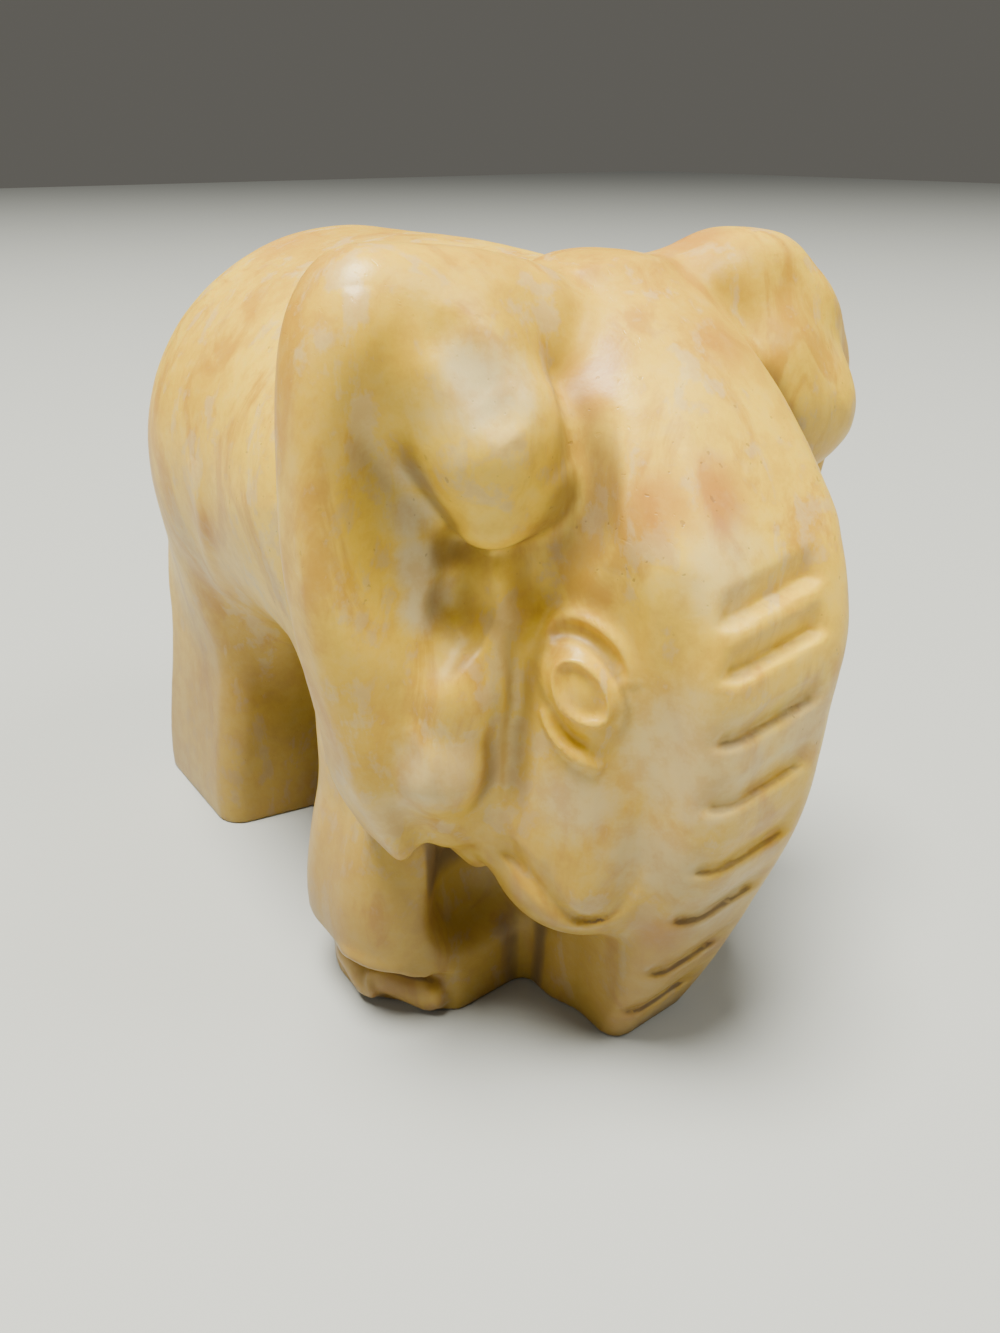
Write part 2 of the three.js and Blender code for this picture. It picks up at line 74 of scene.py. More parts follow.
# The corners of the space that the field is worked out in
LOW = (-52.0, -86.0, -4.0)
HIGH = (52.0, 64.0, 120.0)
MOST_POINTS = 150000

BARREL = {"middle": (0, 7.7, 77), "radii": (36.9, 30.3, 35.5), "straight": 12.2}
HAUNCH = {"middle": (10.9, 32.8, 64), "radii": (20.4, 20.8, 32.7)}
WITHERS = {"middle": (0, -24, 80), "radii": (31, 24, 31)}
SHOULDER = ((13.5, -19, 78, 21.5), (18, -27, 48, 14.2))
HIND_LEG = {
    "inner": 5, "outer": 29.1, "flare": 5, "front": 21, "slant": 0.22, "back": 56.5, "heel": 1.5,
    "round": 4.5, "top": 76,
}
# How far the hind leg's outer, front and back faces draw in between two levels, and its rounded top
THIGH = {"levels": (42, 84), "outer": 6, "front": 8, "back": 16, "crown": 12}
KNEE = 45
HEEL_TOP = 40
LEG_MIDDLE = 15
FORE_LEG = {
    "inner": 4.5, "outer": 32.3, "flare": 6.6, "flare_levels": (52, 16), "front": -43.4, "back": -13.8,
    "round": 11.5, "top": 54,
}
# The foot tucks in below the leg, and a slanted cut clears its corner for the toes
FOOT = {
    "tuck": 3.8, "tuck_levels": (15, 9), "cut_x": 0.77, "cut_y": 0.64, "cut": 46.6,
    "lift": 8, "lift_levels": (8, 13),
}
WEB = {"half_width": 10, "front": -52, "back": -30, "round": 4, "top": 52}
LEG_HOLLOW = ((17.5, -46.5, 36, 9.5), (18.5, -46.5, 22, 10))
GROUND_ARCH = {"middle": (17, -52.3, 0), "radii": (7.5, 6.8, 6.5)}
TAIL = {"height": 2.2, "half_width": 2.6, "low": (36, 44), "high": (92, 84), "front": (30, 40)}

DOME = {"middle": (0, -42, 85.7), "radii": (22.2, 25.3, 27)}
CHEEK = ((12.2, -57.4, 66, 10.5), (10.7, -56.3, 37, 13.5))
CHEEK_BACK = ((21, -50.8, 79, 5.2), (21.5, -50.6, 46, 5.4), (21.2, -50.2, 38, 3.3))
TEMPLE = ((18.2, -62, 98.3, 3.4), (20.8, -61.8, 88, 4.3), (22.3, -58.8, 80, 3.5))
TRUNK_VALLEY = ((16, -76, 82, 1.5), (15.5, -73, 34, 1.5))
TRUNK = {
    "levels": (0, 12, 28, 45, 60, 75, 88, 100, 110),
    "front": (-63.3, -68.3, -74.2, -79.1, -79.9, -79.1, -73.3, -61.4, -45.3),
    "back": (-47, -49, -50, -44, -40, -40, -42, -42, -42),
    "half": (8.6, 9.8, 11.2, 12.6, 13.6, 15.1, 15.6, 13.1, 7.9),
    "tip_round": 3.5,
    "rounder": 4,
    "rounder_levels": (0, 40),
    "lean": 0.85,
}
# The trunk's cuts grow 2 mm wider upwards, and the lower ones are shallower and slope off further
NOTCHES = {
    "levels": (79.5, 73.4, 64.5, 55, 44.2, 33.4, 20.5, 9), "middle": -2.6, "behind": 6, "tilt": 0.1,
    "reach": 4.4, "wider": 2, "wider_levels": (10, 60), "fade": 1.6,
    "share": 0.7, "deeper": 0.3, "deeper_levels": (58, 74),
    "slope": 3.8, "longer": 2, "longer_levels": (68, 52),
}

PLATE = {
    "middle_y": -45.5, "half_thickness": 6, "rim": 4.5, "corner": 9, "lean": 0.97,
    "thinner": 2.3, "thinner_levels": (66, 44), "foot_back": 3.5, "foot_levels": (62, 40),
}
LEFT_TEMPLE_BACK = 3.5
RIGHT_EAR = {
    "levels": (34, 41, 52.5, 66.7, 80, 91.6, 102, 112),
    "outer": (33.5, 36.8, 41.5, 44.4, 46, 45.8, 44.8, 43),
    "across": (4, 10, 18, 25.7, 33, 39, 46),
    "top": (103, 111, 114, 114.8, 115.8, 115.4, 111),
    "fold": ((33.5, -45.5, 106.5, 8.3), (29, -49.5, 102, 7), (27, -54, 96, 6), (25.4, -54.5, 88.8, 4.6)),
    "fold_root": (
        (17, -46.5, 104.5, 8), (24.5, -46, 104.5, 9.8), (23.3, -52.5, 98, 6.6), (20.3, -54.8, 91.5, 5),
    ),
    "fold_softness": 3.2,
}
LEFT_EAR = {
    "levels": (34, 41, 52.5, 66.7, 78, 84, 90, 97, 103, 110),
    "outer": (33.5, 36.8, 41, 42.8, 43.4, 45, 46.4, 45.8, 42.6, 36),
    "across": (4, 10, 16, 24, 32, 38, 46),
    "top": (105, 112, 114.4, 115, 113.2, 110, 104),
    "fold": ((31, -45, 101.5, 9), (31.5, -49.5, 91, 9), (26, -51, 85.5, 5.5)),
    "fold_root": ((20, -45, 104.5, 8.5), (22, -49, 98, 8.5), (23, -50.5, 94, 8.5)),
    "fold_softness": 4,
}
EAR_FOOT = {
    "across": (15, 20.5, 22.3, 25.4, 28, 30.2, 33, 35.5, 38),
    "bottom": (37, 31.8, 31, 34.8, 39.2, 40.6, 39.4, 36.8, 37),
}
EAR_DISH = {"middle": (36, -56, 88), "radii": (8, 7, 14)}
LOBE = ((24.5, -50, 79, 4.5), (28.3, -50, 66, 6.5), (30.5, -49.5, 55, 6.5), (26.5, -46.5, 43, 5))
EAR_CHANNEL = ((28.6, -53.8, 90, 2.4), (27.8, -53.5, 84, 3.8), (29, -54.3, 77, 4.5), (35, -55.8, 70.5, 3))
FOLD_FACET = (
    (33.8, -57.8, 112.3, 5), (33.1, -61.5, 111.2, 8), (31, -64.8, 107.4, 9), (29.8, -65.6, 104.4, 8),
    (27.3, -64.9, 97.8, 4),
)
MOUTH = {
    "along": (-70.5, -68.5, -66.8, -64.8, -63.3, -61.6, -59.4, -56.7, -50),
    "level": (41, 34.7, 32.6, 32.3, 33.7, 36, 37.9, 39.3, 40),
    "slope": 4.2,
    "front": (-72, -64),
    "back": (-53, -57),
    "inner": (8, 11),
}
TOES = (((33.8, -28.4, 8.1, 3.4), (33, -31.7, 4, 3.4)), ((30.8, -34, 6, 3.9), (26.6, -39, 3.6, 3.8)))

LEDGE = {"softness": 0.1, "step": 0.55}
# How softly the masses run into each other
SOFTNESS = {
    "haunch": 12, "body": 10, "fore_leg": 8, "web": 6, "leg_hollow": 3.5, "ground_arch": 1.5, "foot_cut": 1.5,
    "toe": 0.8, "trunk": 8, "cheek": 3.5, "cheek_back": 3, "temple": 3, "valley": 4, "head": 5, "ear": 3,
    "ear_foot": 3, "dish": 5, "lobe_run": 3, "lobe": 2.5, "channel_run": 1.5, "channel": 1.0, "fold_run": 3,
    "root_run": 2, "root": 5, "facet": 0.5,
}

# The eye's middle, its two directions, and the lid around it as shares of the eyeball's size
EYE = {"middle": (19.3, -64.4, 67.6), "along": (-0.32, -0.52, -0.79), "across": (-0.65, -0.49, 0.58)}
EYEBALL = {"half_length": 4.3, "half_height": 2.7, "bulge": 0.35}
LID_BAND = {"reach": 1.4, "height": 0.5, "width": 0.3}
EYE_DEPTH = {"full": 4, "fade": 3}
# The lines that the carver scored: places, half width and depth, all in millimetres. A depth below 0
# raises a cord.
LINES = {
    "upper_lid": (
        ((20.7, -60, 71.8), (19.3, -58.6, 73.7), (18.3, -59.2, 75), (17.3, -61.3, 75.5),
         (16.4, -63.8, 74.9), (15.5, -66.4, 73.4), (15.3, -68, 71), (15.4, -68.9, 68.5)), 1.0, 0.9),
    "upper_lid_band": (
        ((20.2, -60.4, 72.4), (19.3, -60.4, 73.6), (18.1, -62.3, 74), (17.3, -64.6, 73.2),
         (16.8, -66.5, 71.6), (16.4, -67.5, 69)), 1.3, -0.8),
    "lower_lid": (
        ((21.8, -60.5, 64.8), (21.4, -61.7, 62.4), (20.6, -63.1, 60.4), (19.3, -64.9, 58.6),
         (17.5, -66.6, 57.2)), 0.8, 1.3),
    "lower_lid_band": (
        ((21.8, -61.9, 66.4), (21.2, -62.7, 63.8), (20.2, -63.9, 61.6), (18.7, -65.6, 60.5)), 1.1, -0.7),
    "jaw_groove": (
        ((25, -52.9, 76.3), (25.6, -55.1, 71), (25.7, -56.7, 65.1), (25, -55, 54.1), (24, -54, 46.1),
         (23, -52, 40.7)), 1.2, 0.6),
    "jaw_cord": (
        ((21.9, -55.3, 70.2), (22.7, -56.8, 66.9), (22.6, -56.6, 58), (22.8, -55.2, 47.8)), 1.2, -0.35),
    "ear_crease": (((38.8, -50.8, 113), (39, -51.3, 109.5), (39, -51.3, 106), (38.8, -51.3, 102)), 1.6, 0.6),
    "lobe_crease": (
        ((34.1, -51.6, 63.5), (33.8, -52.1, 60.8), (33.8, -53.4, 57.9), (33.5, -52, 54)), 1.3, 0.6),
    "thigh_crease": (((36.1, 6.6, 82), (36.4, 6.5, 72.5), (33.5, 13, 62), (30.7, 18.6, 53)), 2.2, 0.8),
    "foot_crease": (
        ((35.2, -21, 9), (36.3, -27, 11.5), (37.2, -32, 13.5), (37.6, -34.8, 14.5), (37.4, -36.9, 14),
         (36.3, -38.6, 13.4), (33.6, -41.2, 12.8), (30.4, -41.8, 9.7), (28.1, -42.1, 5.6),
         (26.8, -42.3, 1.6)), 1.2, 0.7),
    "toe_gap": (((34.4, -35.2, 9), (34.6, -34.1, 7), (34.2, -33.4, 2.5)), 0.8, 0.8),
}
RIGHT_SIDE_ONLY = {"ear_crease", "lobe_crease"}
RING = "eyeball_ring"
HAND_WAVES = 70.0

# The stage, in metres: each lamp's place and width, the point they are turned to, and the camera
LAMPS = {
    "ceiling": ((-0.36, -0.05, 2.1), 0.96),
    "side": ((-0.75, 0.0, 0.45), 0.5),
    "window": ((0.7, -0.9, 1.5), 0.6),
}
LAMP_TARGET = (0, 0, 0.06)
LAMP_COLOUR = (1.0, 0.96, 0.78)
ROOM_COLOUR = (1.0, 0.96, 0.85, 1.0)
CAMERA_PLACE = (-0.0894, -0.13025, 0.126)
SENSOR_WIDTH = 36.0
NEAREST_SEEN = 0.005


def bump(v, width):
    return np.exp(-(v / width) ** 2)


def rise(low, high, v):
    t = np.clip((v - low) / (high - low), 0, 1)
    return t * t * (3 - 2 * t)


def ellipsoid(x, y, z, shape):
    a, b, c = ((v - m) / r for v, m, r in zip((x, y, z), shape["middle"], shape["radii"]))
    reach = np.sqrt(a * a + b * b + c * c)
    rx, ry, rz = shape["radii"]
    slope = np.sqrt((a / rx) ** 2 + (b / ry) ** 2 + (c / rz) ** 2) + 1e-9
    return reach * (reach - 1) / slope


def limb(x, y, z, start, end):
    """Two balls and the tapered skin between them."""
    ux, uy, uz = (end[k] - start[k] for k in range(3))
    px, py, pz = x - start[0], y - start[1], z - start[2]
    t = np.clip((px * ux + py * uy + pz * uz) / (ux * ux + uy * uy + uz * uz), 0, 1)
    gap = np.sqrt((px - t * ux) ** 2 + (py - t * uy) ** 2 + (pz - t * uz) ** 2)
    return gap - start[3] - (end[3] - start[3]) * t


def join(a, b, softness):
    near = np.maximum(softness - np.abs(a - b), 0) / softness
    return np.minimum(a, b) - near * near * softness / 4


def within(a, b, softness):
    return -join(-a, -b, softness)


def hollow(a, b, softness):
    return within(a, -b, softness)


def run(x, y, z, balls, softness=1e-6):
    """A run of limbs through the balls."""
    d = limb(x, y, z, balls[0], balls[1])
    for start, end in zip(balls[1:], balls[2:]):
        d = join(d, limb(x, y, z, start, end), softness)
    return d


def slab(u, v, half_u, half_v, rounding):
    """A rounded rectangle, measured from its middle."""
    a = np.abs(u) - half_u + rounding
    b = np.abs(v) - half_v + rounding
    return np.hypot(np.maximum(a, 0), np.maximum(b, 0)) + np.minimum(np.maximum(a, b), 0) - rounding


def ledge(above, reach):
    """A flat chisel cut that slopes off above and ends in a steep step below."""
    slope = join(np.maximum(1 - above / reach, 0), 1.0, LEDGE["softness"])
    return np.where(above > 0, slope, bump(above, LEDGE["step"]))


def along(levels, values, v):
    """A smooth curve of the values over the levels."""
    levels, values = np.array(levels, float), np.array(values, float)
    slope = np.gradient(values, levels)
    v = np.clip(v, levels[0], levels[-1])
    i = np.clip(np.searchsorted(levels, v, side="right") - 1, 0, len(levels) - 2)
    step = levels[i + 1] - levels[i]
    t = (v - levels[i]) / step
    start = (2 * t**3 - 3 * t**2 + 1) * values[i] + (t**3 - 2 * t**2 + t) * step * slope[i]
    return start + (3 * t**2 - 2 * t**3) * values[i + 1] + (t**3 - t**2) * step * slope[i + 1]


def torso(s, y, z):
    b = y - BARREL["middle"][1]
    straight = np.clip(b, -BARREL["straight"], BARREL["straight"])
    d = join(ellipsoid(s, y - straight, z, BARREL), ellipsoid(s, y, z, HAUNCH), SOFTNESS["haunch"])
    d = join(d, ellipsoid(s, y, z, WITHERS), SOFTNESS["body"])
    return join(d, run(s, y, z, SHOULDER), SOFTNESS["body"])


def hind_leg(s, y, z):
    leg = HIND_LEG
    drawn = rise(*THIGH["levels"], z)
    outer = leg["outer"] + leg["flare"] * rise(KNEE, 0, z) - THIGH["outer"] * drawn
    front = leg["front"] + leg["slant"] * (s - LEG_MIDDLE) + THIGH["front"] * drawn
    back = leg["back"] + leg["heel"] * rise(HEEL_TOP, 0, z) - THIGH["back"] * drawn
    half_x, half_y = (outer - leg["inner"]) / 2, (back - front) / 2
    post = slab(s - leg["inner"] - half_x, y - front - half_y, half_x, half_y, leg["round"])
    return within(post, z - leg["top"], THIGH["crown"])


def fore_leg(s, y, z):
    leg = FORE_LEG
    spread = leg["flare"] * rise(*leg["flare_levels"], z)
    outer = leg["outer"] + spread - FOOT["tuck"] * rise(*FOOT["tuck_levels"], z)
    half_x, half_y = (outer - leg["inner"]) / 2, (leg["back"] - leg["front"]) / 2
    post = slab(s - leg["inner"] - half_x, y - leg["front"] - half_y, half_x, half_y, leg["round"])
    lift = FOOT["lift"] * rise(*FOOT["lift_levels"], z)
    slanted = FOOT["cut_x"] * s - FOOT["cut_y"] * y - FOOT["cut"] - lift
    return np.maximum(within(post, slanted, SOFTNESS["foot_cut"]), z - leg["top"])


def web(s, y, z):
    """The stone left between the fore legs, behind the trunk."""
    half_y = (WEB["back"] - WEB["front"]) / 2
    post = slab(s, y - WEB["front"] - half_y, WEB["half_width"], half_y, WEB["round"])
    return np.maximum(post, z - WEB["top"])


def trunk(s, y, z):
    front, back, half = (along(TRUNK["levels"], TRUNK[side], z) for side in ("front", "back", "half"))
    corner = TRUNK["tip_round"] + TRUNK["rounder"] * rise(*TRUNK["rounder_levels"], z)
    rounding = np.minimum(np.minimum(half, (back - front) / 2), corner)
    section = slab(s, y - (front + back) / 2, half, (back - front) / 2, rounding)
    return np.maximum(section * TRUNK["lean"], z - TRUNK["levels"][-1])


def mouth(s, y, z, depth):
    step = 0.1
    level, beyond = (along(MOUTH["along"], MOUTH["level"], y + ahead) for ahead in (0, step))
    above = (z - level) / np.hypot(1, (beyond - level) / step)
    span = rise(*MOUTH["front"], y) * rise(*MOUTH["back"], y) * rise(*MOUTH["inner"], s)
    return depth * ledge(above, MOUTH["slope"]) * span


def eye(s, y, z):
    """The eyeball rounds out, and the lid stands up around it."""
    p = [v - m for v, m in zip((s, y, z), EYE["middle"])]
    u = sum(a * b for a, b in zip(p, EYE["along"]))
    v = sum(a * b for a, b in zip(p, EYE["across"]))
    deep = np.sqrt(np.maximum(sum(a * a for a in p) - u * u - v * v, 0))
    reach = np.hypot(u / EYEBALL["half_length"], v / EYEBALL["half_height"])
    ball = -EYEBALL["bulge"] * np.maximum(1 - reach * reach, 0)
    lid = -LID_BAND["height"] * bump(reach - LID_BAND["reach"], LID_BAND["width"])
    return (ball + lid) * bump(np.maximum(deep - EYE_DEPTH["full"], 0), EYE_DEPTH["fade"])


def head(s, y, z, left, cuts):
    d = join(ellipsoid(s, y, z, DOME), trunk(s, y, z), SOFTNESS["trunk"])
    d = join(d, run(s, y, z, CHEEK), SOFTNESS["cheek"])
    d = join(d, run(s, y, z, CHEEK_BACK), SOFTNESS["cheek_back"])
    d = hollow(d, run(s, y - LEFT_TEMPLE_BACK * left, z, TEMPLE), SOFTNESS["temple"])
    d = hollow(d, run(s, y, z, TRUNK_VALLEY), SOFTNESS["valley"])
    return d + eye(s, y, z) + mouth(s, y, z, cuts["mouth"])


def ear(s, y, z, side):
    """A plate with a rounded rim, dished, channelled and lobed, and the fold from its top."""
    past = PLATE["lean"] * (s - along(side["levels"], side["outer"], z))
    upper = within(past, z - along(side["across"], side["top"], s), PLATE["corner"])
    outline = within(upper, along(EAR_FOOT["across"], EAR_FOOT["bottom"], s) - z, SOFTNESS["ear_foot"])
    rim = PLATE["rim"] - PLATE["thinner"] * rise(*PLATE["thinner_levels"], z)
    a = outline + rim
    aside = np.abs(y - PLATE["middle_y"] - PLATE["foot_back"] * rise(*PLATE["foot_levels"], z))
    b = aside - PLATE["half_thickness"] + rim
    d = np.hypot(np.maximum(a, 0), np.maximum(b, 0)) + np.minimum(np.maximum(a, b), 0) - rim
    d = hollow(d, ellipsoid(s, y, z, EAR_DISH), SOFTNESS["dish"])
    d = join(d, run(s, y, z, LOBE, SOFTNESS["lobe_run"]), SOFTNESS["lobe"])
    d = hollow(d, run(s, y, z, EAR_CHANNEL, SOFTNESS["channel_run"]), SOFTNESS["channel"])
    fold = run(s, y, z, side["fold"], SOFTNESS["fold_run"])
    fold = join(fold, run(s, y, z, side["fold_root"], SOFTNESS["root_run"]), SOFTNESS["root"])
    fold = hollow(fold, run(s, y, z, FOLD_FACET), SOFTNESS["facet"])
    return join(d, fold, side["fold_softness"])


def bands(x, y, z, depth):
    """Chisel cuts across the front of the trunk."""
    reach = NOTCHES["reach"] + NOTCHES["wider"] * rise(*NOTCHES["wider_levels"], z)
    across = bump(np.maximum(np.abs(x - NOTCHES["middle"]) - reach, 0), NOTCHES["fade"])
    front = rise(-0.5, 0.5, along(TRUNK["levels"], TRUNK["front"], z) + NOTCHES["behind"] - y)
    level = z - NOTCHES["tilt"] * (x - NOTCHES["middle"])
    share = NOTCHES["share"] + NOTCHES["deeper"] * rise(*NOTCHES["deeper_levels"], z)
    slope = NOTCHES["slope"] + NOTCHES["longer"] * rise(*NOTCHES["longer_levels"], z)
    return depth * share * across * front * sum(ledge(level - cut, slope) for cut in NOTCHES["levels"])


def tail(s, y, z):
    """A plain tail lying close against the rump."""
    height = TAIL["height"] * bump(s, TAIL["half_width"])
    return height * rise(*TAIL["low"], z) * rise(*TAIL["high"], z) * rise(*TAIL["front"], y)


def elephant(x, y, z, cuts):
    s = np.abs(x)
    left = x > 0
    d = join(torso(s, y, z), hind_leg(s, y, z), SOFTNESS["body"])
    d = join(d, fore_leg(s, y, z), SOFTNESS["fore_leg"])
    d = join(d, web(s, y, z), SOFTNESS["web"])
    d = hollow(d, run(s, y, z, LEG_HOLLOW), SOFTNESS["leg_hollow"])
    d = hollow(d, ellipsoid(s, y, z, GROUND_ARCH), SOFTNESS["ground_arch"])
    d = join(d, head(s, y, z, left, cuts), SOFTNESS["head"])
    ears = np.where(left, ear(s, y, z, LEFT_EAR), ear(s, y, z, RIGHT_EAR))
    d = join(d, ears, SOFTNESS["ear"])
    for toe in TOES:
        d = join(d, run(s, y, z, toe), SOFTNESS["toe"])
    d += bands(x, y, z, cuts["band"]) - tail(s, y, z)
    return np.maximum(d, -z)


def field(points, cuts):
    """The field at many points, a slice at a time to keep the memory small."""
    parts = np.array_split(points, len(points) // MOST_POINTS + 1)
    return np.concatenate([elephant(*part.T, cuts) for part in parts])


def slopes(points, cuts, reach=0.3):
    """The direction out of the stone at each point."""
    steps = reach * np.eye(3)
    rise_by = [field(points + step, cuts) - field(points - step, cuts) for step in steps]
    out = np.stack(rise_by, 1)
    return out / np.maximum(np.linalg.norm(out, axis=1, keepdims=True), 1e-9)


def surface(cell, cuts):
    """Points and four-sided faces of the field's surface, worked out only near it."""
    block = 4
    blocks = [math.ceil((high - low) / cell / block) for low, high in zip(LOW, HIGH)]
    nodes = np.stack(np.meshgrid(*(np.arange(n + 1) for n in blocks), indexing="ij"), -1)
    coarse = field(nodes.reshape(-1, 3) * cell * block + LOW, cuts).reshape(nodes.shape[:3])
    near = np.abs(coarse) < 1.5 * block * cell
    used = np.zeros(blocks, bool)
    for i, j, k in np.ndindex(2, 2, 2):
        used |= near[i:i + blocks[0], j:j + blocks[1], k:k + blocks[2]]
    whole = np.repeat(np.repeat(np.repeat(coarse[:-1, :-1, :-1], block, 0), block, 1), block, 2)
    inner = np.stack(np.meshgrid(*[np.arange(block)] * 3, indexing="ij"), -1).reshape(-1, 3)
    places = (np.argwhere(used)[:, None] * block + inner).reshape(-1, 3)
    whole[tuple(places.T)] = field(places * cell + LOW, cuts)
    limit = 3 * cell
    grid = openvdb.FloatGrid(background=limit)
    grid.copyFromArray(np.clip(whole, -limit, limit).astype(np.float32))
    points, quads = grid.convertToQuads(0.0)
    return points * cell + LOW, quads


def mesh_of(name, points, faces=(), edges=()):
    """A mesh from points in the field's millimetres."""
    mesh = bpy.data.meshes.new(name)
    moved = (np.asarray(points) + (0, SHIFT_Y, 0)) * MM
    mesh.vertices.add(len(moved))
    mesh.vertices.foreach_set("co", moved.astype(np.float32).ravel())
    if len(edges):
        mesh.edges.add(len(edges))
        mesh.edges.foreach_set("vertices", np.asarray(edges, np.int32).ravel())
    if len(faces):
        mesh.loops.add(faces.size)
        mesh.loops.foreach_set("vertex_index", faces.astype(np.int32).ravel())
        mesh.polygons.add(len(faces))
        mesh.polygons.foreach_set("loop_start", np.arange(0, faces.size, 4, dtype=np.int32))
    mesh.update(calc_edges=True)
    mesh.validate()
    return mesh


def shown(name, mesh):
    piece = bpy.data.objects.new(name, mesh)
    bpy.context.scene.collection.objects.link(piece)
    return piece


def smoothed(places, count=40):
    """Places along a smooth curve through the given ones."""
    places = np.array(places, float)
    at = np.arange(len(places))
    fine = np.linspace(0, len(places) - 1, count)
    return np.stack([along(at, places[:, k], fine) for k in range(3)], 1)


def eyeball_ring():
    turn = np.linspace(0, 2 * math.pi, 49)[:, None]
    long_way = EYEBALL["half_length"] * np.cos(turn) * np.array(EYE["along"])
    short_way = EYEBALL["half_height"] * np.sin(turn) * np.array(EYE["across"])
    return EYE["middle"] + long_way + short_way


def scored_paths(places, sides, cuts):
    """Each side's path laid on the surface, and the edges between its points."""
    points, edges = [], []
    for side in sides:
        path = np.array(places) * (side, 1, 1)
        for _ in range(4):
            path = path - slopes(path, cuts) * field(path, cuts)[:, None]
        first = len(points)
        points += list(path)
        edges += [(n, n + 1) for n in range(first, len(points) - 1)]
    return points, edges


class Signal:
    """A number that varies over the surface. Arithmetic on it adds Math nodes."""

    def __init__(self, nodes, socket):
        self.nodes = nodes
        self.socket = socket

    def maths(self, operation, *values):
        node = self.nodes.make("ShaderNodeMath", {"operation": operation}, dict(enumerate(values)))
        return Signal(self.nodes, node.outputs[0])

    def __add__(self, other):
        return self.maths("ADD", self, other)

    def __radd__(self, other):
        return self.maths("ADD", other, self)

    def __sub__(self, other):
        return self.maths("SUBTRACT", self, other)

    def __rsub__(self, other):
        return self.maths("SUBTRACT", other, self)

    def __mul__(self, other):
        return self.maths("MULTIPLY", self, other)

    def __rmul__(self, other):
        return self.maths("MULTIPLY", other, self)

    def __truediv__(self, other):
        return self.maths("DIVIDE", self, other)


class Nodes:
    """Makes the nodes of one tree."""

    def __init__(self, tree):
        self.tree = tree

    def make(self, kind, settings=None, values=None):
        node = self.tree.nodes.new(kind)
        for name, value in (settings or {}).items():
            setattr(node, name, value)
        for key, value in (values or {}).items():
            socket = node.inputs[key]
            if isinstance(value, Signal):
                value = value.socket
            if isinstance(value, bpy.types.NodeSocket):
                self.tree.links.new(value, socket)
            else:
                socket.default_value = value
        return node

    def signal(self, kind, settings=None, values=None, output=0):
        return Signal(self, self.make(kind, settings, values).outputs[output])

    def step(self, value, low, high):
        """0 below low, 1 above high and smooth between."""
        settings = {"interpolation_type": "SMOOTHSTEP"}
        return self.signal("ShaderNodeMapRange", settings, {0: value, 1: low, 2: high, 3: 0.0, 4: 1.0})

    def noise(self, place, scale, detail=3.0, roughness=0.5, distortion=0.0):
        values = {"Vector": place, "Scale": scale, "Detail": detail, "Roughness": roughness}
        return self.signal("ShaderNodeTexNoise", {}, {**values, "Distortion": distortion})

    def mix(self, factor, first, second):
        """The first colour where the factor is 0 and the second where it is 1."""
        node = self.make("ShaderNodeMix", {"data_type": "RGBA"}, {0: factor, 6: first, 7: second})
        return node.outputs[2]

    def stretched(self, place, scale):
        node = self.make("ShaderNodeMapping", {"vector_type": "POINT"}, {0: place, 3: scale})
        return node.outputs[0]


def geometry_tree(name, sizes):
    """A Geometry Nodes tree with named inputs: the geometry, the sizes and the material."""
    tree = bpy.data.node_groups.new(name, "GeometryNodeTree")
    face = tree.interface
    face.new_socket("Geometry", in_out="OUTPUT", socket_type="NodeSocketGeometry")
    face.new_socket("Geometry", in_out="INPUT", socket_type="NodeSocketGeometry")
    for label, kind in sizes.items():
        face.new_socket(label, in_out="INPUT", socket_type=kind)
    face.new_socket("Material", in_out="INPUT", socket_type="NodeSocketMaterial")
    return tree


def finish_tree(nodes, start, geometry):
    real = nodes.make("GeometryNodeRealizeInstances", {}, {0: geometry})
    values = {0: real.outputs[0], "Material": start.outputs["Material"]}
    painted = nodes.make("GeometryNodeSetMaterial", {}, values)
    nodes.make("NodeGroupOutput", {}, {0: painted.outputs[0]})


def moved_out(nodes, geometry, distance):
    """The surface moved out along its own normal."""
    normal = nodes.make("GeometryNodeInputNormal").outputs[0]
    offset = nodes.make("ShaderNodeVectorMath", {"operation": "SCALE"}, {0: normal, "Scale": distance})
    return nodes.make("GeometryNodeSetPosition", {}, {0: geometry, "Offset": offset.outputs[0]}).outputs[0]


def scoring_tree():
    """Cuts a groove along every edge of another object; a negative depth raises a cord."""
    sizes = {"Lines": "NodeSocketObject", "Half Width": "NodeSocketFloat", "Depth": "NodeSocketFloat"}
    tree = geometry_tree("Score lines", sizes)
    nodes = Nodes(tree)
    start = nodes.make("NodeGroupInput")
    settings = {"transform_space": "RELATIVE"}
    lines = nodes.make("GeometryNodeObjectInfo", settings, {0: start.outputs["Lines"]})
    near = nodes.make("GeometryNodeProximity", {"target_element": "EDGES"}, {0: lines.outputs["Geometry"]})
    away = Signal(nodes, near.outputs["Distance"]) / start.outputs["Half Width"]
    fade = nodes.make("GeometryNodeInputNamedAttribute", {"data_type": "FLOAT"}, {"Name": "fade"})
    point = nodes.make("GeometryNodeSampleNearest", {"domain": "POINT"}, {0: lines.outputs["Geometry"]})
    values = {0: lines.outputs["Geometry"], "Value": fade.outputs[0], "Index": point.outputs[0]}
    share = nodes.signal("GeometryNodeSampleIndex", {"data_type": "FLOAT", "domain": "POINT"}, values)
    cut = away.maths("EXPONENT", 0 - away * away) * share * start.outputs["Depth"]
    finish_tree(nodes, start, moved_out(nodes, start.outputs["Geometry"], 0 - cut))
    return tree


